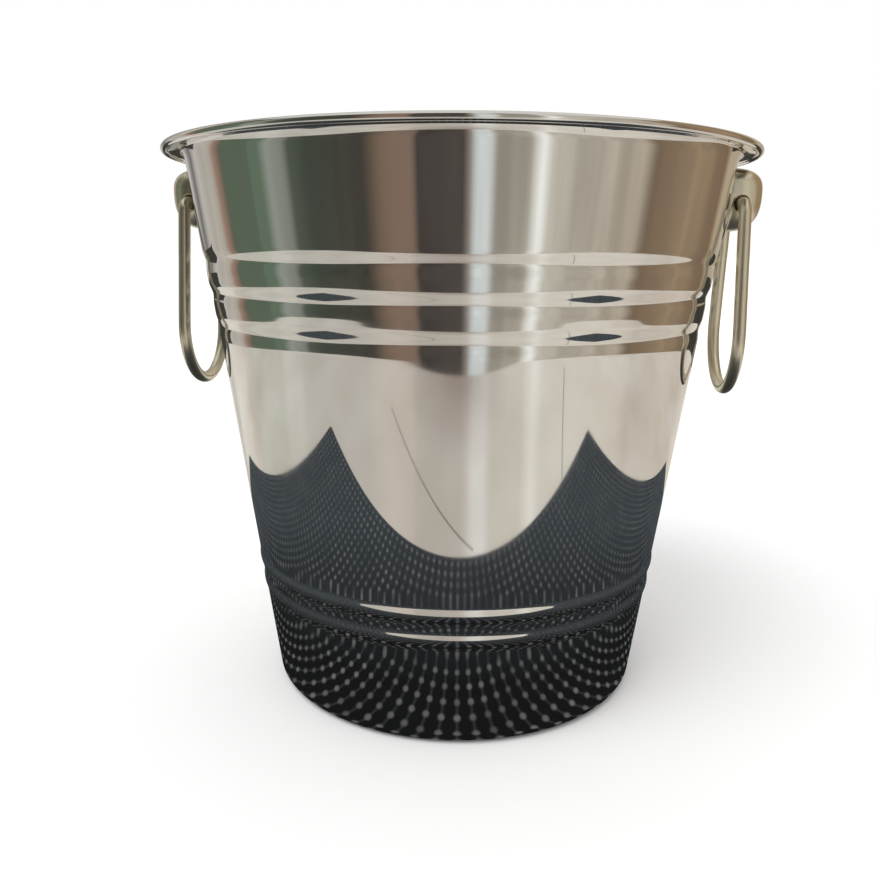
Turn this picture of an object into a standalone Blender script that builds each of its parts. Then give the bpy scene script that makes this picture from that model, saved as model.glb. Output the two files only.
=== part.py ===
"""Champagne bucket: a tapered sheet-metal pail with a rolled lip, three rolled grooves and two
small beads, and two drop-ring handles that swing in cast lugs riveted through the wall.

Blender 4.5, metres, +Z up. The origin is the centre of the foot, on the surface it stands on.
The lugs stand on the X axis and their bores run along Y.
"""

from math import asin, atan, atan2, cos, hypot, pi, radians, sin, tan

import bmesh
import bpy

MM = 0.001

# Overall sizes, all on the outer face of the sheet
HEIGHT = 200.2 * MM
WALL_TOP_RADIUS = 98.9 * MM
FOOT_RADIUS = 71.0 * MM
SHEET = 0.8 * MM

# Lip: the wall turns out over a wide bend and a tight one, runs on flat and ends in a roll
LIP_REACH = 8.1 * MM
LIP_BENDS = ((9.0 * MM, radians(31)), (1.2 * MM, radians(86)))
LIP_ROLL_RADIUS = 1.3 * MM

# Grooves rolled one under another: the wall steps in by each depth over the height of a
# flank, and comes back out by less
GROOVE_START = 33.9 * MM
GROOVE_PITCH = 11.3 * MM
GROOVE_DEPTHS = (0.62 * MM, 0.90 * MM, 0.72 * MM)
GROOVE_FLANK = 6.2 * MM
GROOVE_RETURN = 0.48 * MM
GROOVE_RETURN_START = 3.8 * MM
GROOVE_RETURN_FLANK = 6.0 * MM

# Thin raised beads, measured up from the foot
BEAD_HEIGHTS = (40.4 * MM, 49.6 * MM)
BEAD_WIDTH = 7.0 * MM
BEAD_RISE = 0.5 * MM

# Foot: a rounded corner, a flat ring to stand on and a panel set up inside it
FOOT_CORNER_RADIUS = 5.0 * MM
FOOT_RING_WIDTH = 8.0 * MM
PANEL_RECESS = 1.5 * MM
PANEL_STEP_WIDTH = 4.0 * MM

# Ring handles, hung from a bore at this distance below the rim and out from the wall
PIVOT_DROP = 17.4 * MM
PIVOT_STANDOFF = 4.45 * MM
WIRE_RADIUS = 2.2 * MM
BORE_CLEARANCE = 0.6 * MM
RING_LENGTH = 67.6 * MM
RING_BOTTOM_RADIUS = 21.0 * MM
RING_BEND_RADIUS = 4.3 * MM
RING_BEND_CLEARANCE = 0.6 * MM
WIRE_END_GAP = 3.0 * MM

# Lugs: an egg-shaped knob that holds the bore, on a thin oval plate that follows the wall.
# The knob is widest at its rise above the bore
KNOB_RISE = 4.2 * MM
KNOB_TOP = 8.6 * MM
KNOB_BOTTOM = 13.8 * MM
KNOB_HALF_WIDTH = 10.4 * MM
KNOB_DEPTH = 12.4 * MM
KNOB_SQUARENESS = 2.7
PLATE_SET_DOWN = 1.6 * MM
PLATE_HALF_HEIGHT = 12.2 * MM
PLATE_HALF_WIDTH = 11.4 * MM
PLATE_THICKNESS = 1.3 * MM

# Rivets put in from inside, above and below the bore
RIVET_OFFSETS = {"upper": 7.2 * MM, "lower": -6.4 * MM}
RIVET_RADIUS = 1.5 * MM
RIVET_HEAD_RADIUS = 3.2 * MM
RIVET_HEAD_RISE = 1.3 * MM
RIVET_GRIP = 3.8 * MM

GAP = 0.3 * MM
TURN_STEPS = 64
SIDES = {"right": 0, "left": pi}

RIM_RADIUS = WALL_TOP_RADIUS + LIP_REACH
PIVOT_HEIGHT = HEIGHT - PIVOT_DROP
GROOVE_TOP = HEIGHT - GROOVE_START
STEP_IN = sum(GROOVE_DEPTHS) - len(GROOVE_DEPTHS) * GROOVE_RETURN


# ---- section of the bucket, as (radius, height) points


def line_lean(run, rise):
    """Angle from the vertical of a line that goes out by run while it rises."""
    return atan(run / rise)


TAPER = line_lean(WALL_TOP_RADIUS - STEP_IN - FOOT_RADIUS, HEIGHT)
WALL_SHEET = SHEET / cos(TAPER)


def lip_line(steps):
    """Middle line of the lip's sheet as (radius, height, lean), from the wall to the roll.

    The flat run after the last bend points at the middle of the roll.
    """
    radius = WALL_TOP_RADIUS - SHEET / 2 * cos(TAPER)
    line = [(radius, 0, TAPER)]
    for bend, end in LIP_BENDS:
        radius, height, lean = line[-1]
        for step in range(1, steps + 1):
            turned_to = lean + (end - lean) * step / steps
            out = bend * (cos(lean) - cos(turned_to))
            up = bend * (sin(turned_to) - sin(lean))
            line.append((radius + out, height + up, turned_to))
    flat_rise = (RIM_RADIUS - LIP_ROLL_RADIUS - line[-1][0]) / tan(line[-1][2])
    start = HEIGHT - LIP_ROLL_RADIUS - flat_rise - line[-1][1]
    return [(radius, start + height, lean) for radius, height, lean in line]


def beside(line, offset):
    """The points this far outside a (radius, height, lean) line."""
    return [(r + offset * cos(lean), z - offset * sin(lean)) for r, z, lean in line]


WALL_TOP = beside(lip_line(1), SHEET / 2)[0][1]


def taper_radius(height):
    """Outer radius of the straight wall that rises from the foot."""
    return FOOT_RADIUS + (WALL_TOP_RADIUS - STEP_IN - FOOT_RADIUS) * height / WALL_TOP


def band_radius(height):
    """Outer radius of the plain band above the grooves, which stands out from that wall."""
    return taper_radius(height) + STEP_IN


def ease(share):
    """Runs from 0 to 1, level at both ends."""
    share = min(max(share, 0), 1)
    return share - sin(2 * pi * share) / (2 * pi)


def swell(away, width, size):
    """A smooth ridge of this width and size, seen this far from its middle."""
    return size * (1 + cos(2 * pi * away / width)) / 2 if abs(away) < width / 2 else 0


def wall_radius(height):
    radius = band_radius(height)
    for index, depth in enumerate(GROOVE_DEPTHS):
        down = GROOVE_TOP - index * GROOVE_PITCH - height
        radius -= depth * ease(down / GROOVE_FLANK)
        radius += GROOVE_RETURN * ease((down - GROOVE_RETURN_START) / GROOVE_RETURN_FLANK)
    for bead in BEAD_HEIGHTS:
        radius += swell(height - bead, BEAD_WIDTH, BEAD_RISE)
    return radius


def wall_heights(bottom, top):
    """The heights that draw the wall: through each groove and bead, and a few between them."""
    heights = {bottom, top, GROOVE_TOP - 3 * GROOVE_PITCH - GROOVE_FLANK / 2}
    for index in range(len(GROOVE_DEPTHS)):
        for share in (0, 0.25, 0.5, 0.75):
            heights.add(GROOVE_TOP - (index + share) * GROOVE_PITCH)
    for bead in BEAD_HEIGHTS:
        heights.update((bead - BEAD_WIDTH / 2, bead, bead + BEAD_WIDTH / 2))
    heights.update(share * HEIGHT for share in (0.12, 0.36, 0.52))
    return sorted(height for height in heights if bottom <= height <= top)


def arc(centre, radius, start, end, steps):
    angles = [start + (end - start) * step / steps for step in range(steps + 1)]
    return [(centre[0] + radius * cos(a), centre[1] + radius * sin(a)) for a in angles]


def lip_section():
    """From the top of the inner wall, round the roll, to the top of the outer wall."""
    line = lip_line(3)
    sheet_side = asin(SHEET / 2 / LIP_ROLL_RADIUS)
    roll_start = 3 * pi / 2 - line[-1][2] - sheet_side
    roll_end = -pi / 2 - line[-1][2] + sheet_side
    centre = (RIM_RADIUS - LIP_ROLL_RADIUS, HEIGHT - LIP_ROLL_RADIUS)
    roll = arc(centre, LIP_ROLL_RADIUS, roll_start, roll_end, 9)
    return beside(line, -SHEET / 2) + roll + beside(reversed(line), SHEET / 2)


def bucket_section():
    """The whole sheet, from the middle of the floor up, over the lip and down to the foot."""
    corner_radius = taper_radius(FOOT_CORNER_RADIUS) - FOOT_CORNER_RADIUS / cos(TAPER)
    corner = (corner_radius, FOOT_CORNER_RADIUS)
    corner_top = FOOT_CORNER_RADIUS * (1 - sin(TAPER))
    ring_inside = corner[0] - FOOT_RING_WIDTH
    panel_edge = ring_inside - PANEL_STEP_WIDTH
    inner_corner = arc(corner, FOOT_CORNER_RADIUS - SHEET, -pi / 2, -TAPER, 3)
    outer_corner = arc(corner, FOOT_CORNER_RADIUS, -TAPER, -pi / 2, 4)
    wall = wall_heights(corner_top + MM, WALL_TOP - MM)
    inner_wall = [(wall_radius(height) - WALL_SHEET, height) for height in wall]
    outer_wall = [(wall_radius(height), height) for height in reversed(wall)]
    floor = [(0, PANEL_RECESS + SHEET), (panel_edge, PANEL_RECESS + SHEET), (ring_inside, SHEET)]
    underside = [(ring_inside, 0), (panel_edge, PANEL_RECESS), (0, PANEL_RECESS)]
    return floor + inner_corner + inner_wall + lip_section() + outer_wall + outer_corner + underside


# ---- Blender helpers


def clear_scene():
    for obj in list(bpy.data.objects):
        bpy.data.objects.remove(obj, do_unlink=True)


def metal(name, colour, roughness):
    material = bpy.data.materials.new(name)
    material.use_nodes = True
    shader = material.node_tree.nodes["Principled BSDF"]
    shader.inputs["Base Color"].default_value = (*colour, 1)
    shader.inputs["Metallic"].default_value = 1
    shader.inputs["Roughness"].default_value = roughness
    return material


def add_object(name, data, material=None, parent=None):
    """A part when it has a material, and otherwise a cutter that the render leaves out."""
    obj = bpy.data.objects.new(name, data)
    bpy.context.scene.collection.objects.link(obj)
    obj.parent = parent
    if material:
        data.materials.append(material)
    else:
        obj.hide_render = True
        obj.display_type = "WIRE"
    if obj.type == "MESH":
        data.shade_smooth()
        data.set_sharp_from_angle(angle=radians(35))
    return obj


def to_mesh(name, shape):
    mesh = bpy.data.meshes.new(name)
    bmesh.ops.recalc_face_normals(shape, faces=shape.faces)
    shape.to_mesh(mesh)
    shape.free()
    return mesh


def turned(name, section, steps, material=None, parent=None):
    """Turns (radius, height) points about Z. The section starts and ends on the axis."""
    mesh = bpy.data.meshes.new(name)
    points = [(radius, 0, height) for radius, height in section]
    edges = [(index, index + 1) for index in range(len(points) - 1)]
    mesh.from_pydata(points, edges, [])
    obj = add_object(name, mesh, material, parent)
    screw = obj.modifiers.new("turn", "SCREW")
    screw.steps = screw.render_steps = steps
    screw.use_merge_vertices = True
    screw.merge_threshold = 0.00001
    screw.use_smooth_shade = True
    return obj


def boolean(obj, operation, other):
    modifier = obj.modifiers.new(other.name, "BOOLEAN")
    modifier.operation = operation
    modifier.object = other


def cylinder(name, radius, length, parent):
    shape = bmesh.new()
    bmesh.ops.create_cone(
        shape, cap_ends=True, segments=24, radius1=radius, radius2=radius, depth=length
    )
    return add_object(name, to_mesh(name, shape), parent=parent)


# ---- pieces


def make_bucket(material):
    return turned("bucket_body", bucket_section(), TURN_STEPS, material)


def lug_gauge(name, offset):
    """A solid that stands this far outside the band and the lip, over the height of the lugs."""
    bottom = PIVOT_HEIGHT - 2 * PLATE_HALF_HEIGHT
    lip = beside(reversed(lip_line(3)), SHEET / 2 + offset)
    foot = (band_radius(bottom) + offset / cos(TAPER), bottom)
    return turned(name, [(0, lip[0][1])] + lip + [foot, (0, bottom)], TURN_STEPS)


def pivot_radius():
    return band_radius(PIVOT_HEIGHT) + PIVOT_STANDOFF


def make_knob(name, frame):
    """A ball drawn out to the knob's sizes: an egg, squarer than an ellipsoid."""
    shape = bmesh.new()
    bmesh.ops.create_uvsphere(shape, u_segments=24, v_segments=16, radius=1)
    for vertex in shape.verts:
        reach = sum(abs(part) ** KNOB_SQUARENESS for part in vertex.co)
        vertex.co /= reach ** (1 / KNOB_SQUARENESS)
        vertex.co.x *= KNOB_DEPTH
        vertex.co.y *= KNOB_HALF_WIDTH
        vertex.co.z *= KNOB_TOP if vertex.co.z > 0 else KNOB_BOTTOM
    knob = add_object(name, to_mesh(name, shape), parent=frame)
    height = PIVOT_HEIGHT + KNOB_RISE
    knob.location = (band_radius(height), 0, height)
    return knob


def make_plate_blank(name, frame, material):
    """An oval prism through the wall, which the two wall gauges trim to the plate."""
    shape = bmesh.new()
    bmesh.ops.create_cone(shape, cap_ends=True, segments=32, radius1=1, radius2=1, depth=1)
    for vertex in shape.verts:
        up, across, out = vertex.co
        vertex.co = (out * 4 * KNOB_DEPTH, across * PLATE_HALF_WIDTH, up * PLATE_HALF_HEIGHT)
    plate = add_object(name, to_mesh(name, shape), material, frame)
    height = PIVOT_HEIGHT - PLATE_SET_DOWN
    plate.location = (band_radius(height), 0, height)
    return plate


def place_on_wall(obj, height):
    """Stands an object's Z axis square to the wall, pointing outwards, from its outer face."""
    step = 1 * MM
    run = band_radius(height + step) - band_radius(height - step)
    obj.location = (band_radius(height), 0, height)
    obj.rotation_euler = (0, pi / 2 + line_lean(run, 2 * step), 0)


def rivet_section():
    """Dome inside the bucket, shank through the wall and into the lug."""
    seat = -WALL_SHEET - GAP
    bend = (RIVET_HEAD_RADIUS**2 + RIVET_HEAD_RISE**2) / (2 * RIVET_HEAD_RISE)
    crown = asin(RIVET_HEAD_RADIUS / bend)
    dome = arc((0, seat - RIVET_HEAD_RISE + bend), bend, crown - pi / 2, -pi / 2, 4)
    return [(0, RIVET_GRIP), (RIVET_RADIUS, RIVET_GRIP), (RIVET_RADIUS, seat)] + dome[:-1] + [
        (0, seat - RIVET_HEAD_RISE)
    ]


def make_rivets(side, frame, bucket, lug, material):
    for place, offset in RIVET_OFFSETS.items():
        name = f"rivet_{side}_{place}"
        rivet = turned(name, rivet_section(), 20, material, frame)
        hole_length = 2 * (RIVET_GRIP + GAP)
        hole = cylinder(f"{name}_hole", RIVET_RADIUS + GAP, hole_length, frame)
        for obj in (rivet, hole):
            place_on_wall(obj, PIVOT_HEIGHT + offset)
        boolean(bucket, "DIFFERENCE", hole)
        boolean(lug, "DIFFERENCE", hole)


def make_lug(side, frame, gauges, material):
    lug = make_plate_blank(f"lug_{side}", frame, material)
    boolean(lug, "INTERSECT", gauges["plate_face"])
    boolean(lug, "UNION", make_knob(f"knob_{side}", frame))
    boolean(lug, "DIFFERENCE", gauges["wall_face"])
    bore = cylinder(f"bore_{side}", WIRE_RADIUS + BORE_CLEARANCE, 4 * KNOB_HALF_WIDTH, frame)
    bore.location = (pivot_radius(), 0, PIVOT_HEIGHT)
    bore.rotation_euler = (pi / 2, 0, 0)
    boolean(lug, "DIFFERENCE", bore)
    return lug


def ring_outline():
    """Middle line of the wire as (across, up) from the pivot: in at the bore, round and back.

    Each leg is a straight tangent between the small bend at the lug and the round bottom.
    """
    bend = (KNOB_HALF_WIDTH + RING_BEND_CLEARANCE, -RING_BEND_RADIUS)
    bottom = (0, RING_BOTTOM_RADIUS - RING_LENGTH)
    reach = hypot(bend[0], bend[1] - bottom[1])
    splay = asin((RING_BOTTOM_RADIUS - RING_BEND_RADIUS) / reach) - atan2(
        bend[0], bend[1] - bottom[1]
    )
    half = [(WIRE_END_GAP / 2, 0)]
    half += arc(bend, RING_BEND_RADIUS, pi / 2, splay, 6)
    half += arc(bottom, RING_BOTTOM_RADIUS, splay, -pi / 2, 10)
    return half + [(-across, up) for across, up in reversed(half[:-1])]


def make_ring(side, frame, material):
    pivot = bpy.data.objects.new(f"{side}_handle_pivot", None)
    bpy.context.scene.collection.objects.link(pivot)
    pivot.parent = frame
    pivot.location = (pivot_radius(), 0, PIVOT_HEIGHT)
    curve = bpy.data.curves.new(f"ring_handle_{side}", "CURVE")
    curve.dimensions = "3D"
    curve.bevel_depth = WIRE_RADIUS
    curve.bevel_resolution = 4
    curve.use_fill_caps = True
    outline = ring_outline()
    spline = curve.splines.new("POLY")
    spline.points.add(len(outline) - 1)
    for point, (across, up) in zip(spline.points, outline):
        point.co = (0, across, up, 1)
    return add_object(f"ring_handle_{side}", curve, material, pivot)


def main():
    clear_scene()
    steel = metal("polished_steel", (0.78, 0.77, 0.75), 0.08)
    nickel = metal("plated_zinc", (0.76, 0.72, 0.62), 0.16)
    bucket = make_bucket(steel)
    gauges = {
        "wall_face": lug_gauge("wall_face", GAP),
        "plate_face": lug_gauge("plate_face", GAP + PLATE_THICKNESS),
    }
    for side, turn in SIDES.items():
        frame = bpy.data.objects.new(f"{side}_side", None)
        bpy.context.scene.collection.objects.link(frame)
        frame.rotation_euler = (0, 0, turn)
        lug = make_lug(side, frame, gauges, nickel)
        make_rivets(side, frame, bucket, lug, steel)
        make_ring(side, frame, nickel)


main()
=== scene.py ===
"""The looks of the champagne bucket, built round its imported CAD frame.

Every visible piece is a finer copy of its CAD solid: the pail and the rivets are turned, the
rings are swept wire and the lugs are cast knobs. Lengths are metres in the frame's own axes:
the lugs stand on X, and the camera looks along +Y.
"""

from math import asin, atan, atan2, cos, hypot, pi, radians, sin, tan

import bmesh
import bpy
from mathutils import Euler, Matrix, Vector


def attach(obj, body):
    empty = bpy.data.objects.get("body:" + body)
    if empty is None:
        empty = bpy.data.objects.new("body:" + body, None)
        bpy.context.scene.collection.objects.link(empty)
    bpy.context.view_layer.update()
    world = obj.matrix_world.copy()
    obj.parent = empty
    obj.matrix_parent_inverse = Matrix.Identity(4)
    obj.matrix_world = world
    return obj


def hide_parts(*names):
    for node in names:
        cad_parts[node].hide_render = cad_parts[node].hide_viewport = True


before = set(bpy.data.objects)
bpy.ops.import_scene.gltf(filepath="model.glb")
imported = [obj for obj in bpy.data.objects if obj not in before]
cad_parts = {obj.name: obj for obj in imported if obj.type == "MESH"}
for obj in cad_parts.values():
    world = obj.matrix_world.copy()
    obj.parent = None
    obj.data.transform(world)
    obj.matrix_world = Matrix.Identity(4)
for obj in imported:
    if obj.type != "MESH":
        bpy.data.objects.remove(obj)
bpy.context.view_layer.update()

MM = 0.001

# Overall sizes, all on the outer face of the sheet
HEIGHT = 200.2 * MM
WALL_TOP_RADIUS = 98.9 * MM
FOOT_RADIUS = 71.0 * MM
SHEET = 0.8 * MM

# Lip: the wall turns out over a wide bend and a tight one, runs on flat and ends in a roll
LIP_REACH = 8.1 * MM
LIP_BENDS = ((9.0 * MM, radians(31)), (1.2 * MM, radians(86)))
LIP_ROLL_RADIUS = 1.3 * MM

# Grooves rolled one under another: the wall steps in by each depth over the height of a
# flank, and comes back out by less
GROOVE_START = 33.9 * MM
GROOVE_PITCH = 11.3 * MM
GROOVE_DEPTHS = (0.62 * MM, 0.90 * MM, 0.72 * MM)
GROOVE_FLANK = 6.2 * MM
GROOVE_RETURN = 0.48 * MM
GROOVE_RETURN_START = 3.8 * MM
GROOVE_RETURN_FLANK = 6.0 * MM

# Thin raised beads, measured up from the foot
BEAD_HEIGHTS = (40.4 * MM, 49.6 * MM)
BEAD_WIDTH = 7.0 * MM
BEAD_RISE = 0.5 * MM

# Foot: a rounded corner, a flat ring to stand on and a panel set up inside it
FOOT_CORNER_RADIUS = 5.0 * MM
FOOT_RING_WIDTH = 8.0 * MM
PANEL_RECESS = 1.5 * MM
PANEL_STEP_WIDTH = 4.0 * MM

# Ring handles, hung from a bore at this distance below the rim and out from the wall
PIVOT_DROP = 17.4 * MM
PIVOT_STANDOFF = 4.45 * MM
WIRE_RADIUS = 2.2 * MM
BORE_CLEARANCE = 0.6 * MM
RING_LENGTH = 67.6 * MM
RING_BOTTOM_RADIUS = 21.0 * MM
RING_BEND_RADIUS = 4.3 * MM
RING_BEND_CLEARANCE = 0.6 * MM
WIRE_END_GAP = 3.0 * MM

# Lugs: an egg-shaped knob that holds the bore, on a thin oval plate that follows the wall.
# The knob is widest at its rise above the bore
KNOB_RISE = 4.2 * MM
KNOB_TOP = 8.6 * MM
KNOB_BOTTOM = 13.8 * MM
KNOB_HALF_WIDTH = 10.4 * MM
KNOB_DEPTH = 12.4 * MM
KNOB_SQUARENESS = 2.7
PLATE_SET_DOWN = 1.6 * MM
PLATE_HALF_HEIGHT = 12.2 * MM
PLATE_HALF_WIDTH = 11.4 * MM
PLATE_THICKNESS = 1.3 * MM

# Rivets put in from inside, above and below the bore
RIVET_OFFSETS = {"upper": 7.2 * MM, "lower": -6.4 * MM}
RIVET_RADIUS = 1.5 * MM
RIVET_HEAD_RADIUS = 3.2 * MM
RIVET_HEAD_RISE = 1.3 * MM
RIVET_GRIP = 3.8 * MM

GAP = 0.3 * MM
SIDES = {"right": 0, "left": pi}

# How finely the round stretches are divided
TURN_STEPS = 240
RIVET_STEPS = 64
HOLE_STEPS = 48
PLATE_STEPS = 96
KNOB_MERIDIANS, KNOB_PARALLELS = 64, 40
LIP_STEPS = 12
LIP_ROLL_STEPS = 40
FOOT_OUTER_STEPS, FOOT_INNER_STEPS = 14, 12
PANEL_STEPS = 8
BEAD_STEPS = 14
GROOVE_STEPS = 72
PLAIN_WALL_STEP = 4 * MM
DOME_STEPS = 16
RING_BEND_STEPS, RING_BOTTOM_STEPS = 16, 40
WIRE_FINENESS = 10

# Casting and tumbling round the lugs' edges: a skin of this grain, smoothed this many times
SKIN_GRAIN = 0.3 * MM
TUMBLE_PASSES = 6

RIM_RADIUS = WALL_TOP_RADIUS + LIP_REACH
PIVOT_HEIGHT = HEIGHT - PIVOT_DROP
GROOVE_TOP = HEIGHT - GROOVE_START
STEP_IN = sum(GROOVE_DEPTHS) - len(GROOVE_DEPTHS) * GROOVE_RETURN


# ---- section of the bucket, as (radius, height) points


def line_lean(run, rise):
    """Angle from the vertical of a line that goes out by run while it rises."""
    return atan(run / rise)


TAPER = line_lean(WALL_TOP_RADIUS - STEP_IN - FOOT_RADIUS, HEIGHT)
WALL_SHEET = SHEET / cos(TAPER)


def lip_line(steps):
    """Middle line of the lip's sheet as (radius, height, lean), from the wall to the roll.

    The flat run after the last bend points at the middle of the roll.
    """
    radius = WALL_TOP_RADIUS - SHEET / 2 * cos(TAPER)
    line = [(radius, 0, TAPER)]
    for bend, end in LIP_BENDS:
        radius, height, lean = line[-1]
        for step in range(1, steps + 1):
            turned_to = lean + (end - lean) * step / steps
            out = bend * (cos(lean) - cos(turned_to))
            up = bend * (sin(turned_to) - sin(lean))
            line.append((radius + out, height + up, turned_to))
    flat_rise = (RIM_RADIUS - LIP_ROLL_RADIUS - line[-1][0]) / tan(line[-1][2])
    start = HEIGHT - LIP_ROLL_RADIUS - flat_rise - line[-1][1]
    return [(radius, start + height, lean) for radius, height, lean in line]


def beside(line, offset):
    """The points this far outside a (radius, height, lean) line."""
    return [(r + offset * cos(lean), z - offset * sin(lean)) for r, z, lean in line]


WALL_TOP = beside(lip_line(1), SHEET / 2)[0][1]


def taper_radius(height):
    """Outer radius of the straight wall that rises from the foot."""
    return FOOT_RADIUS + (WALL_TOP_RADIUS - STEP_IN - FOOT_RADIUS) * height / WALL_TOP


def band_radius(height):
    """Outer radius of the plain band above the grooves, which stands out from that wall."""
    return taper_radius(height) + STEP_IN


def ease(share):
    """Runs from 0 to 1, level at both ends."""
    share = min(max(share, 0), 1)
    return share - sin(2 * pi * share) / (2 * pi)


def swell(away, width, size):
    """A smooth ridge of this width and size, seen this far from its middle."""
    return size * (1 + cos(2 * pi * away / width)) / 2 if abs(away) < width / 2 else 0


def wall_radius(height):
    radius = band_radius(height)
    for index, depth in enumerate(GROOVE_DEPTHS):
        down = GROOVE_TOP - index * GROOVE_PITCH - height
        radius -= depth * ease(down / GROOVE_FLANK)
        radius += GROOVE_RETURN * ease((down - GROOVE_RETURN_START) / GROOVE_RETURN_FLANK)
    for bead in BEAD_HEIGHTS:
        radius += swell(height - bead, BEAD_WIDTH, BEAD_RISE)
    return radius


def wall_heights(bottom, top):
    """Close steps over the grooves and beads, and wider ones on the plain wall."""
    relief = [(bead - BEAD_WIDTH / 2, bead + BEAD_WIDTH / 2, BEAD_STEPS) for bead in BEAD_HEIGHTS]
    last_groove = GROOVE_TOP - (len(GROOVE_DEPTHS) - 1) * GROOVE_PITCH
    groove_end = last_groove - GROOVE_RETURN_START - GROOVE_RETURN_FLANK
    relief.append((groove_end, GROOVE_TOP, GROOVE_STEPS))
    heights = []
    start = bottom
    for low, high, steps in relief:
        plain_steps = max(1, round((low - start) / PLAIN_WALL_STEP))
        heights += [start + (low - start) * step / plain_steps for step in range(plain_steps)]
        heights += [low + (high - low) * step / steps for step in range(steps)]
        start = high
    plain_steps = round((top - start) / PLAIN_WALL_STEP)
    return heights + [start + (top - start) * step / plain_steps for step in range(plain_steps + 1)]


def arc(centre, radius, start, end, steps):
    angles = [start + (end - start) * step / steps for step in range(steps + 1)]
    return [(centre[0] + radius * cos(a), centre[1] + radius * sin(a)) for a in angles]


def lip_section():
    """From the top of the inner wall, round the roll, to the top of the outer wall."""
    line = lip_line(LIP_STEPS)
    sheet_side = asin(SHEET / 2 / LIP_ROLL_RADIUS)
    roll_start = 3 * pi / 2 - line[-1][2] - sheet_side
    roll_end = -pi / 2 - line[-1][2] + sheet_side
    centre = (RIM_RADIUS - LIP_ROLL_RADIUS, HEIGHT - LIP_ROLL_RADIUS)
    roll = arc(centre, LIP_ROLL_RADIUS, roll_start, roll_end, LIP_ROLL_STEPS)
    return beside(line, -SHEET / 2) + roll + beside(reversed(line), SHEET / 2)


def bucket_section():
    """The whole sheet, from the middle of the floor up, over the lip and down to the foot."""
    corner_radius = taper_radius(FOOT_CORNER_RADIUS) - FOOT_CORNER_RADIUS / cos(TAPER)
    corner = (corner_radius, FOOT_CORNER_RADIUS)
    corner_top = FOOT_CORNER_RADIUS * (1 - sin(TAPER))
    ring_inside = corner[0] - FOOT_RING_WIDTH
    panel_edge = ring_inside - PANEL_STEP_WIDTH
    inner_corner = arc(corner, FOOT_CORNER_RADIUS - SHEET, -pi / 2, -TAPER, FOOT_INNER_STEPS)
    outer_corner = arc(corner, FOOT_CORNER_RADIUS, -TAPER, -pi / 2, FOOT_OUTER_STEPS)
    wall = wall_heights(corner_top + MM, WALL_TOP - MM)
    inner_wall = [(wall_radius(height) - WALL_SHEET, height) for height in wall]
    outer_wall = [(wall_radius(height), height) for height in reversed(wall)]
    step = []
    for share in [index / PANEL_STEPS for index in range(PANEL_STEPS + 1)]:
        rise = PANEL_RECESS * (1 - cos(pi * share)) / 2
        step.append((ring_inside - PANEL_STEP_WIDTH * share, rise))
    rings = [panel_edge * share for share in (0, 0.25, 0.5, 0.75)]
    floor = [(radius, PANEL_RECESS + SHEET) for radius in rings]
    floor += [(radius, height + SHEET) for radius, height in reversed(step)]
    underside = step + [(radius, PANEL_RECESS) for radius in reversed(rings)]
    return floor + inner_corner + inner_wall + lip_section() + outer_wall + outer_corner + underside


# ---- mesh helpers


def link(obj, parent=None):
    bpy.context.scene.collection.objects.link(obj)
    obj.parent = parent
    return obj


def lathe(name, section, steps):
    """A closed mesh of (radius, height) points turned about Z, on the axis at both ends."""
    rings = []
    verts = []
    faces = []
    for radius, height in section:
        if radius == 0:
            rings.append([len(verts)] * steps)
            verts.append((0, 0, height))
            continue
        rings.append(range(len(verts), len(verts) + steps))
        for step in range(steps):
            angle = 2 * pi * step / steps
            verts.append((radius * cos(angle), radius * sin(angle), height))
    for one, two in zip(rings, rings[1:]):
        for step in range(steps):
            other = (step + 1) % steps
            corners = [one[step], one[other], two[other], two[step]]
            faces.append(list(dict.fromkeys(corners)))
    mesh = bpy.data.meshes.new(name)
    mesh.from_pydata(verts, [], faces)
    mesh.shade_smooth()
    return bpy.data.objects.new(name, mesh)


def finish_piece(obj, body, nodes, material):
    """Hands a finished piece to the frame: what it rides on, stands for and is made of."""
    obj.data.materials.clear()
    obj.data.materials.append(material)
    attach(obj, body)
    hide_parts(*nodes)


def apply_modifiers(obj):
    """Turns the evaluated shape into the object's own mesh, in the frame's axes."""
    bpy.context.view_layer.update()
    graph = bpy.context.evaluated_depsgraph_get()
    mesh = bpy.data.meshes.new_from_object(obj.evaluated_get(graph))
    mesh.transform(obj.matrix_world)
    obj.modifiers.clear()
    obj.parent = None
    obj.matrix_world = Matrix()
    obj.data = mesh


def remove(*objects):
    for obj in objects:
        bpy.data.objects.remove(obj, do_unlink=True)


def solid(name, shape, parent=None):
    """A mesh for Booleans, made from a bmesh."""
    mesh = bpy.data.meshes.new(name)
    bmesh.ops.recalc_face_normals(shape, faces=shape.faces)
    shape.to_mesh(mesh)
    shape.free()
    return link(bpy.data.objects.new(name, mesh), parent)


def cylinder(name, radius, length, parent):
    shape = bmesh.new()
    bmesh.ops.create_cone(
        shape, cap_ends=True, segments=HOLE_STEPS, radius1=radius, radius2=radius, depth=length
    )
    return solid(name, shape, parent)


def boolean(obj, operation, other):
    modifier = obj.modifiers.new(other.name, "BOOLEAN")
    modifier.operation = operation
    modifier.object = other


# ---- materials

# Noise over the metal, as its scale and detail, and the range of it that counts
WIPED_NOISE, WIPED_RANGE = (28, 4), (0.4, 0.75)
WORN_NOISE, WORN_RANGE = (9, 3), (0.45, 0.7)
WAVE_NOISE = (22, 1)
WORN_TONE = 0.95
HAZE_ROUGHNESS = 0.4
HAZE_IOR = 2.2


def nodes_of(material):
    material.use_nodes = True
    tree = material.node_tree
    return tree.nodes, tree.links


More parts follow.
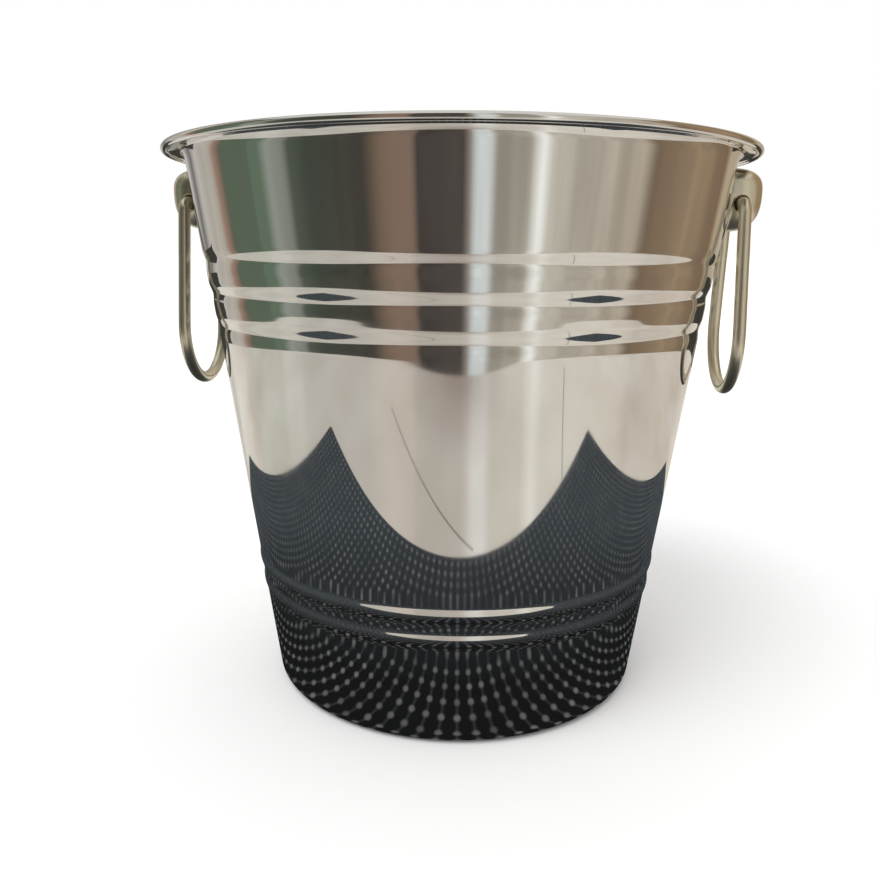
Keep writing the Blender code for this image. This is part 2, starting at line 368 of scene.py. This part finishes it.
def noise(tree, scale, detail, stretch=(1, 1, 1)):
    """A noise value over the object, drawn out along an axis where its stretch is smaller."""
    where = tree.nodes.new("ShaderNodeTexCoord")
    mapping = tree.nodes.new("ShaderNodeMapping")
    mapping.inputs["Scale"].default_value = stretch
    tree.links.new(where.outputs["Object"], mapping.inputs["Vector"])
    texture = tree.nodes.new("ShaderNodeTexNoise")
    texture.inputs["Scale"].default_value = scale
    texture.inputs["Detail"].default_value = detail
    tree.links.new(mapping.outputs["Vector"], texture.inputs["Vector"])
    return texture.outputs["Fac"]


def spread(tree, value, low, high, out_low, out_high):
    """Maps a value from one range to another, held at the ends."""
    scale = tree.nodes.new("ShaderNodeMapRange")
    for socket, number in zip(scale.inputs[1:5], (low, high, out_low, out_high)):
        socket.default_value = number
    tree.links.new(value, scale.inputs["Value"])
    return scale.outputs["Result"]


def patches(tree, scale, detail, low=0, high=1, stretch=(1, 1, 1)):
    """Soft uneven patches that run between two values."""
    return spread(tree, noise(tree, scale, detail, stretch), 0.35, 0.65, low, high)


def mixed(tree, share, one, two):
    """A colour between two. The share and each colour are fixed or another node's output."""
    mix = tree.nodes.new("ShaderNodeMix")
    mix.data_type = "RGBA"
    for socket, colour in ((mix.inputs["A"], one), (mix.inputs["B"], two)):
        if isinstance(colour, bpy.types.NodeSocket):
            tree.links.new(colour, socket)
        else:
            socket.default_value = (*colour, 1)
    if isinstance(share, bpy.types.NodeSocket):
        tree.links.new(share, mix.inputs["Factor"])
    else:
        mix.inputs["Factor"].default_value = share
    return mix.outputs["Result"]


def bump(tree, height, depth):
    node = tree.nodes.new("ShaderNodeBump")
    node.inputs["Strength"].default_value = 1
    node.inputs["Distance"].default_value = depth
    tree.links.new(height, node.inputs["Height"])
    return node.outputs["Normal"]


def metal(name, colour, roughness, smear, wave_depth, haze=0):
    """Metal with a clean colour, wiped and handled unevenly, very slightly wavy and hazed."""
    material = bpy.data.materials.new(name)
    nodes, links = nodes_of(material)
    tree = material.node_tree
    shader = nodes["Principled BSDF"]
    shader.inputs["Metallic"].default_value = 1
    shader.inputs["Coat Weight"].default_value = haze
    shader.inputs["Coat Roughness"].default_value = HAZE_ROUGHNESS
    shader.inputs["Coat IOR"].default_value = HAZE_IOR
    wiped = spread(tree, noise(tree, *WIPED_NOISE), *WIPED_RANGE, roughness, roughness + smear)
    links.new(wiped, shader.inputs["Roughness"])
    worn = spread(tree, noise(tree, *WORN_NOISE), *WORN_RANGE, 0, 1)
    dull = [part * WORN_TONE for part in colour]
    links.new(mixed(tree, worn, colour, dull), shader.inputs["Base Color"])
    links.new(bump(tree, noise(tree, *WAVE_NOISE), wave_depth), shader.inputs["Normal"])
    return material


def make_materials():
    return {
        "polished_steel": metal("polished_steel", (0.80, 0.785, 0.765), 0.03, 0.05, 1.2e-5, 0.1),
        "plated_nickel": metal("plated_nickel", (0.84, 0.79, 0.64), 0.30, 0.08, 1e-5),
        "rivet_steel": metal("rivet_steel", (0.72, 0.71, 0.69), 0.18, 0.10, 1e-5),
    }


# ---- the object


def make_bucket():
    return link(lathe("bucket", bucket_section(), TURN_STEPS))


def pivot_radius():
    return band_radius(PIVOT_HEIGHT) + PIVOT_STANDOFF


def lug_gauge(name, offset):
    """A solid that stands this far outside the band and the lip, over the height of the lugs."""
    bottom = PIVOT_HEIGHT - 2 * PLATE_HALF_HEIGHT
    lip = beside(lip_line(LIP_STEPS), SHEET / 2 + offset)
    foot = (band_radius(bottom) + offset / cos(TAPER), bottom)
    return link(lathe(name, [(0, bottom), foot] + lip + [(0, lip[-1][1])], 3 * TURN_STEPS))


def make_knob(name, side_frame):
    """A ball drawn out to the knob's sizes: an egg, squarer than an ellipsoid."""
    shape = bmesh.new()
    bmesh.ops.create_uvsphere(
        shape, u_segments=KNOB_MERIDIANS, v_segments=KNOB_PARALLELS, radius=1
    )
    for vertex in shape.verts:
        reach = sum(abs(part) ** KNOB_SQUARENESS for part in vertex.co)
        vertex.co /= reach ** (1 / KNOB_SQUARENESS)
        vertex.co.x *= KNOB_DEPTH
        vertex.co.y *= KNOB_HALF_WIDTH
        vertex.co.z *= KNOB_TOP if vertex.co.z > 0 else KNOB_BOTTOM
    knob = solid(name, shape, side_frame)
    height = PIVOT_HEIGHT + KNOB_RISE
    knob.location = (band_radius(height), 0, height)
    return knob


def make_plate_blank(name, side_frame):
    """An oval prism through the wall, which the two gauges trim to the plate."""
    shape = bmesh.new()
    bmesh.ops.create_cone(
        shape, cap_ends=True, segments=PLATE_STEPS, radius1=1, radius2=1, depth=1
    )
    for vertex in shape.verts:
        up, across, out = vertex.co
        vertex.co = (out * 4 * KNOB_DEPTH, across * PLATE_HALF_WIDTH, up * PLATE_HALF_HEIGHT)
    plate = solid(name, shape, side_frame)
    height = PIVOT_HEIGHT - PLATE_SET_DOWN
    plate.location = (band_radius(height), 0, height)
    return plate


def place_on_wall(obj, height):
    """Stands an object's Z axis square to the wall, pointing outwards, from its outer face."""
    step = 1 * MM
    run = band_radius(height + step) - band_radius(height - step)
    obj.location = (band_radius(height), 0, height)
    obj.rotation_euler = (0, pi / 2 + line_lean(run, 2 * step), 0)


def rivet_section():
    """Shank in the lug and through the wall, and a dome inside the bucket."""
    seat = -WALL_SHEET - GAP
    bend = (RIVET_HEAD_RADIUS**2 + RIVET_HEAD_RISE**2) / (2 * RIVET_HEAD_RISE)
    crown = asin(RIVET_HEAD_RADIUS / bend)
    dome = arc((0, seat - RIVET_HEAD_RISE + bend), bend, crown - pi / 2, -pi / 2, DOME_STEPS)
    shank = [(0, RIVET_GRIP), (RIVET_RADIUS, RIVET_GRIP), (RIVET_RADIUS, seat)]
    return list(reversed(shank + dome[:-1] + [(0, seat - RIVET_HEAD_RISE)]))


def make_lug(side, side_frame, gauges):
    """Cuts the cast lug, then rounds its edges as casting and tumbling do."""
    name = f"lug_of_{side}_handle"
    lug = make_plate_blank(name, side_frame)
    knob = make_knob(f"knob_{side}", side_frame)
    bore = cylinder(f"bore_{side}", WIRE_RADIUS + BORE_CLEARANCE, 4 * KNOB_HALF_WIDTH, side_frame)
    bore.location = (pivot_radius(), 0, PIVOT_HEIGHT)
    bore.rotation_euler = (pi / 2, 0, 0)
    boolean(lug, "INTERSECT", gauges["plate_face"])
    boolean(lug, "UNION", knob)
    boolean(lug, "DIFFERENCE", gauges["wall_face"])
    boolean(lug, "DIFFERENCE", bore)
    holes = []
    for place, offset in RIVET_OFFSETS.items():
        hole = cylinder(f"hole_{side}_{place}", RIVET_RADIUS + GAP, 2 * (RIVET_GRIP + GAP), side_frame)
        place_on_wall(hole, PIVOT_HEIGHT + offset)
        boolean(lug, "DIFFERENCE", hole)
        holes.append(hole)
    remesh = lug.modifiers.new("skin", "REMESH")
    remesh.mode = "VOXEL"
    remesh.voxel_size = SKIN_GRAIN
    remesh.use_smooth_shade = True
    smooth = lug.modifiers.new("tumble", "SMOOTH")
    smooth.factor = 0.5
    smooth.iterations = TUMBLE_PASSES
    apply_modifiers(lug)
    remove(knob, bore)
    return lug, holes


def ring_outline():
    """Middle line of the wire as (across, up) from the pivot: in at the bore, round and back."""
    bend = (KNOB_HALF_WIDTH + RING_BEND_CLEARANCE, -RING_BEND_RADIUS)
    bottom = (0, RING_BOTTOM_RADIUS - RING_LENGTH)
    reach = hypot(bend[0], bend[1] - bottom[1])
    splay = asin((RING_BOTTOM_RADIUS - RING_BEND_RADIUS) / reach) - atan2(
        bend[0], bend[1] - bottom[1]
    )
    half = [(WIRE_END_GAP / 2, 0)]
    half += arc(bend, RING_BEND_RADIUS, pi / 2, splay, RING_BEND_STEPS)
    half += arc(bottom, RING_BOTTOM_RADIUS, splay, -pi / 2, RING_BOTTOM_STEPS)
    return half + [(-across, up) for across, up in reversed(half[:-1])]


def make_ring(side, side_frame):
    curve = bpy.data.curves.new(f"ring_of_{side}_handle", "CURVE")
    curve.dimensions = "3D"
    curve.bevel_depth = WIRE_RADIUS
    curve.bevel_resolution = WIRE_FINENESS
    curve.use_fill_caps = True
    outline = ring_outline()
    spline = curve.splines.new("POLY")
    spline.points.add(len(outline) - 1)
    for point, (across, up) in zip(spline.points, outline):
        point.co = (0, across, up, 1)
    tube = link(bpy.data.objects.new(f"tube_{side}", curve), side_frame)
    tube.location = (pivot_radius(), 0, PIVOT_HEIGHT)
    bpy.context.view_layer.update()
    mesh = bpy.data.meshes.new_from_object(tube.evaluated_get(bpy.context.evaluated_depsgraph_get()))
    mesh.transform(tube.matrix_world)
    mesh.shade_smooth()
    mesh.set_sharp_from_angle(angle=radians(50))
    remove(tube)
    return link(bpy.data.objects.new(f"ring_of_{side}_handle", mesh))


def make_object(materials):
    bucket = make_bucket()
    gauges = {
        "wall_face": lug_gauge("wall_face", GAP),
        "plate_face": lug_gauge("plate_face", GAP + PLATE_THICKNESS),
    }
    used = list(gauges.values())
    for side, turn in SIDES.items():
        side_frame = link(bpy.data.objects.new(f"{side}_side", None))
        side_frame.rotation_euler = (0, 0, turn)
        lug, holes = make_lug(side, side_frame, gauges)
        finish_piece(lug, "bucket", [f"lug_{side}"], materials["plated_nickel"])
        ring = make_ring(side, side_frame)
        finish_piece(
            ring, f"handle_{side}", [f"ring_handle_{side}"], materials["plated_nickel"]
        )
        for place, offset in RIVET_OFFSETS.items():
            rivet = link(lathe(f"rivet_of_{side}_lug_{place}", rivet_section(), RIVET_STEPS), side_frame)
            rivet.data.set_sharp_from_angle(angle=radians(35))
            place_on_wall(rivet, PIVOT_HEIGHT + offset)
            apply_modifiers(rivet)
            finish_piece(
                rivet, "bucket", [f"rivet_{side}_{place}"], materials["rivet_steel"]
            )
        for hole in holes:
            boolean(bucket, "DIFFERENCE", hole)
        used += holes + [side_frame]
    apply_modifiers(bucket)
    finish_piece(bucket, "bucket", ["bucket_body"], materials["polished_steel"])
    remove(*used)


# ---- the stage: a white floor for the camera, and the table and room that the metal mirrors

STAGE_TURN = radians(5.65)  # the room's axes, turned with the camera from the frame's
STEEL_REFLECTS = 0.79
FLOOR_REACH = 60
FLOOR_TONE = 0.86

# Table and mat: left, right, near and far edges, the corners' radius and the height
TABLE_NEAR = -0.385
TABLE_LEVEL = -1 * MM
TABLE_OUTLINE = (-0.62, 0.62, TABLE_NEAR, 0.8, 0.3, TABLE_LEVEL)
# Share of the room's tones mixed into the table's colour: a painted reflection of the room
TABLE_PAINTED_REFLECTION = 0.3
# Painted shade on the table near its front edge, darkening it towards a reddish brown
TABLE_PAINTED_SHADE = (0.02, 0.13, 0.6, 0)  # the patch's inner and outer radius, and its strength at each
MAT_OUTLINE = (-0.272, 0.272, -0.18, 0.212, 6 * MM, -0.5 * MM)
# Painted sheen on the mat: from dark at the first distance from the bucket's axis to brighter at the
# second
MAT_SHEEN_REACH = (0.1, 0.21)
STUD_PITCH = 7.6 * MM
STUD_EDGE = (0.12, 0.28)  # of the pitch: a stud's full tone ends at one and fades out by the other
LINE_WIDTH = 0.14 * STUD_PITCH
LINE_STRENGTH = 0.4
SEAMS = {
    "seam_one": ((0.02, -0.185), (-0.16, -0.30)),
    "seam_two": ((0.18, -0.182), (0.29, -0.31)),
}
SEAM_WIDTH = 1.8 * MM
SEAM_LEVEL = -0.7 * MM
CORNER_STEPS = 16

# Room: bent cards as first and last bearing, bottom, top and radius, and a flat ceiling
WALL_CARD = (-180, 180, -2.2, 3.0, 2.2)
LOW_CARD = (130, 230, -0.15, 0.09, 1.2)
CARD_STEP = 4
CEILING_REACH = 4
CEILING_HEIGHT = 2.6
CEILING_GLOW = (0.75, 0.74, 0.70)
PATCH_TONE = 0.94

# Light and camera, the camera's place and angles before the stage's turn
SUN_STRENGTH = 1.4
SUN_SPREAD = radians(40)
SUN_LEAN = (radians(28), radians(-22), 0)
CAMERA_PLACE = (-0.0074, -0.3353, 0.1647)
CAMERA_DIP = radians(12.19)
CAMERA_ROLL = radians(0.418)
CAMERA_SENSOR = 36
CAMERA_LENS = 35.16

# Display colours of the room in the steel, by bearing in degrees to the right of the camera
ROOM_TONES = (
    (-178, (205, 200, 192)),
    (-160, (120, 116, 112)),
    (-152, (200, 196, 190)),
    (-140, (96, 94, 96)),
    (-132, (206, 202, 194)),
    (-117, (176, 170, 160)),
    (-114, (150, 126, 110)),
    (-110.5, (136, 112, 98)),
    (-108, (84, 98, 82)),
    (-84, (92, 108, 92)),
    (-80, (142, 148, 140)),
    (-72, (124, 130, 122)),
    (-69, (72, 82, 72)),
    (-61, (62, 68, 60)),
    (-38, (56, 54, 50)),
    (-33, (104, 90, 76)),
    (-27, (132, 110, 96)),
    (-19, (126, 106, 94)),
    (-17, (58, 54, 52)),
    (0, (62, 58, 56)),
    (2.5, (132, 122, 112)),
    (5, (206, 214, 216)),
    (9.5, (214, 220, 220)),
    (13, (150, 144, 134)),
    (25, (160, 154, 142)),
    (30, (238, 240, 236)),
    (34, (186, 182, 170)),
    (72, (176, 166, 150)),
    (79, (120, 100, 80)),
    (104, (156, 134, 108)),
    (127, (118, 96, 74)),
    (135, (182, 166, 140)),
)


def linear(red, green, blue):
    """Linear colour of an 8-bit display colour."""
    return [((part / 255 + 0.055) / 1.055) ** 2.4 for part in (red, green, blue)]


def seen(*colour):
    """The glow that the polished steel shows in this display colour."""
    return [part / STEEL_REFLECTS for part in linear(*colour)]


def glow_material(name):
    """An emission material that lights nothing, and its colour socket."""
    material = bpy.data.materials.new(name)
    nodes, links = nodes_of(material)
    nodes.clear()
    shader = nodes.new("ShaderNodeEmission")
    links.new(shader.outputs[0], nodes.new("ShaderNodeOutputMaterial").inputs["Surface"])
    material.cycles.emission_sampling = "NONE"
    return material, shader.inputs["Color"]


def glow(name, colour):
    """An even glow with faint soft patches."""
    material, socket = glow_material(name)
    tree = material.node_tree
    dim = [part * PATCH_TONE for part in colour]
    tree.links.new(mixed(tree, patches(tree, 3, 2), dim, colour), socket)
    return material


def mirrored_only(obj, material):
    """A stage piece that shows only as a reflection in the metal."""
    obj.data.materials.append(material)
    obj.rotation_euler.z += STAGE_TURN
    obj.visible_camera = obj.visible_diffuse = obj.visible_shadow = False
    obj.visible_transmission = obj.visible_volume_scatter = False
    return link(obj)


def flat(name, corners, material):
    mesh = bpy.data.meshes.new(name)
    mesh.from_pydata(corners, [], [range(len(corners))])
    return mirrored_only(bpy.data.objects.new(name, mesh), material)


def rectangle(left, right, near, far, height):
    return [(left, near, height), (right, near, height), (right, far, height), (left, far, height)]


def rounded(left, right, near, far, corner, height):
    """A rectangle's outline with quarter-round corners."""
    corners = []
    for x, y, start in (
        (right - corner, near + corner, -pi / 2),
        (right - corner, far - corner, 0),
        (left + corner, far - corner, pi / 2),
        (left + corner, near + corner, pi),
    ):
        bend = arc((x, y), corner, start, start + pi / 2, CORNER_STEPS)
        corners += [(*point, height) for point in bend]
    return corners


def seam(name, start, end, material):
    """A thin dark line on the table between two points."""
    one, two = Vector(start), Vector(end)
    run = two - one
    side = Vector((-run.y, run.x)).normalized() * SEAM_WIDTH / 2
    outline = (one - side, two - side, two + side, one + side)
    flat(name, [(*point, SEAM_LEVEL) for point in outline], material)


def room_card(name, start, end, bottom, top, radius, material):
    """An upright bent card between two bearings, in degrees to the right of the camera."""
    steps = round((end - start) / CARD_STEP)
    verts, faces = [], []
    for step in range(steps + 1):
        bearing = radians(start + (end - start) * step / steps)
        x, y = radius * sin(bearing), -radius * cos(bearing)
        verts += [(x, y, bottom), (x, y, top)]
    for step in range(steps):
        faces.append([2 * step, 2 * step + 1, 2 * step + 3, 2 * step + 2])
    mesh = bpy.data.meshes.new(name)
    mesh.from_pydata(verts, [], faces)
    return mirrored_only(bpy.data.objects.new(name, mesh), material)


def room_tones(tree):
    """The room's colour in each direction from the bucket."""
    where = tree.nodes.new("ShaderNodeTexCoord")
    around = tree.nodes.new("ShaderNodeTexGradient")
    around.gradient_type = "RADIAL"
    tree.links.new(where.outputs["Object"], around.inputs["Vector"])
    ramp = tree.nodes.new("ShaderNodeValToRGB")
    points = ramp.color_ramp.elements
    points.remove(points[1])
    for index, (bearing, colour) in enumerate(ROOM_TONES):
        place = (bearing / 360 + 0.25) % 1
        point = points[0] if index == 0 else points.new(place)
        point.position = place
        point.color = (*seen(*colour), 1)
    tree.links.new(around.outputs["Fac"], ramp.inputs["Fac"])
    return ramp.outputs["Color"]


def room_glow():
    """The room's tones, unevenly shaded."""
    material, socket = glow_material("room_glow")
    tree = material.node_tree
    shading = patches(tree, 2.5, 3, high=0.35, stretch=(1, 1, 0.3))
    tree.links.new(mixed(tree, shading, room_tones(tree), seen(92, 86, 78)), socket)
    return material


def table_glow():
    """A pale table with a painted reflection of the room, dimmer in a painted shade near its front edge.
    """
    material, socket = glow_material("table_glow")
    tree = material.node_tree
    where = tree.nodes.new("ShaderNodeTexCoord")
    away = tree.nodes.new("ShaderNodeVectorMath")
    away.operation = "DISTANCE"
    away.inputs[1].default_value = (0, TABLE_NEAR, TABLE_LEVEL)
    tree.links.new(where.outputs["Object"], away.inputs[0])
    pale = mixed(tree, patches(tree, 6, 4), seen(200, 194, 184), seen(216, 212, 204))
    # Painted reflection: the room's tones mixed into the table's colour
    pale_and_reflection = mixed(tree, TABLE_PAINTED_REFLECTION, pale, room_tones(tree))
    # Painted shade: darker towards a reddish brown near the table's front edge
    near = spread(tree, away.outputs["Value"], *TABLE_PAINTED_SHADE)
    tree.links.new(mixed(tree, near, pale_and_reflection, seen(118, 100, 90)), socket)
    return material


def mat_glow():
    """A dark mat with a grid of small pale studs, between faint lines, and a painted sheen that
    brightens it away from the bucket.
    """
    material, socket = glow_material("mat_glow")
    tree = material.node_tree
    where = tree.nodes.new("ShaderNodeTexCoord")
    away = tree.nodes.new("ShaderNodeVectorMath")
    away.operation = "LENGTH"
    tree.links.new(where.outputs["Object"], away.inputs[0])
    # Painted sheen: the mat brightens away from the bucket
    sheen_share = spread(tree, away.outputs["Value"], *MAT_SHEEN_REACH, 0, 1)
    base = mixed(tree, sheen_share, seen(22, 23, 24), seen(54, 60, 65))
    studs = tree.nodes.new("ShaderNodeTexVoronoi")
    studs.voronoi_dimensions = "2D"
    studs.inputs["Scale"].default_value = 1 / STUD_PITCH
    studs.inputs["Randomness"].default_value = 0
    tree.links.new(where.outputs["Object"], studs.inputs["Vector"])
    stud = spread(tree, studs.outputs["Distance"], *STUD_EDGE, 1, 0)
    lit = tree.nodes.new("ShaderNodeMath")
    lit.operation = "MULTIPLY"
    tree.links.new(stud, lit.inputs[0])
    tree.links.new(patches(tree, 40, 3, low=0.35), lit.inputs[1])
    split = tree.nodes.new("ShaderNodeSeparateXYZ")
    tree.links.new(where.outputs["Object"], split.inputs["Vector"])
    lines = tree.nodes.new("ShaderNodeMath")
    lines.operation = "PINGPONG"
    lines.inputs[1].default_value = STUD_PITCH / 2
    tree.links.new(split.outputs["X"], lines.inputs[0])
    line = spread(tree, lines.outputs["Value"], 0, LINE_WIDTH, LINE_STRENGTH, 0)
    lined = mixed(tree, line, base, seen(70, 73, 74))
    tree.links.new(mixed(tree, lit.outputs["Value"], lined, seen(104, 106, 105)), socket)
    return material


def make_floor():
    """The plain pale floor that the camera sees and the metal doesn't mirror."""
    reach = FLOOR_REACH
    floor_mesh = bpy.data.meshes.new("floor")
    floor_mesh.from_pydata(rectangle(-reach, reach, -reach, reach, 0), [], [range(4)])
    floor = link(bpy.data.objects.new("floor", floor_mesh))
    floor.visible_glossy = False
    paint = bpy.data.materials.new("floor_paint")
    shader = nodes_of(paint)[0]["Principled BSDF"]
    shader.inputs["Base Color"].default_value = (FLOOR_TONE, FLOOR_TONE, FLOOR_TONE, 1)
    shader.inputs["Roughness"].default_value = 1
    shader.inputs["Specular IOR Level"].default_value = 0
    floor_mesh.materials.append(paint)


def make_room():
    """The table, mat and room that show only in the metal."""
    flat("table", rounded(*TABLE_OUTLINE), table_glow())
    flat("mat", rounded(*MAT_OUTLINE), mat_glow())
    dark = glow("seam_glow", seen(120, 114, 106))
    for name, (start, end) in SEAMS.items():
        seam(name, start, end, dark)
    room_card("wall", *WALL_CARD, room_glow())
    reach = CEILING_REACH
    ceiling = rectangle(-reach, reach, -reach, reach, CEILING_HEIGHT)
    flat("ceiling", ceiling, glow("ceiling_glow", CEILING_GLOW))
    room_card("low_card", *LOW_CARD, glow("low_card_glow", seen(52, 52, 47)))


def make_light():
    world = bpy.data.worlds.new("studio")
    world.use_nodes = True
    world.node_tree.nodes["Background"].inputs["Color"].default_value = (1, 1, 1, 1)
    bpy.context.scene.world = world
    sun = bpy.data.lights.new("key", "SUN")
    sun.energy = SUN_STRENGTH
    sun.angle = SUN_SPREAD
    lamp = link(bpy.data.objects.new("key", sun))
    lamp.rotation_euler = SUN_LEAN
    lamp.visible_glossy = False
    bpy.context.scene.view_settings.view_transform = "Standard"


def make_camera():
    camera = bpy.data.cameras.new("camera")
    camera.sensor_width = CAMERA_SENSOR
    camera.lens = CAMERA_LENS
    camera.clip_start = 0.01
    view = link(bpy.data.objects.new("camera", camera))
    turn = Euler((0, 0, STAGE_TURN)).to_matrix()
    tilt = Euler((pi / 2 - CAMERA_DIP, 0, 0)).to_matrix()
    roll = Euler((0, 0, CAMERA_ROLL)).to_matrix()
    view.matrix_world = (turn @ tilt @ roll).to_4x4()
    view.location = turn @ Vector(CAMERA_PLACE)
    bpy.context.scene.camera = view


make_object(make_materials())
make_floor()
make_room()
make_light()
make_camera()
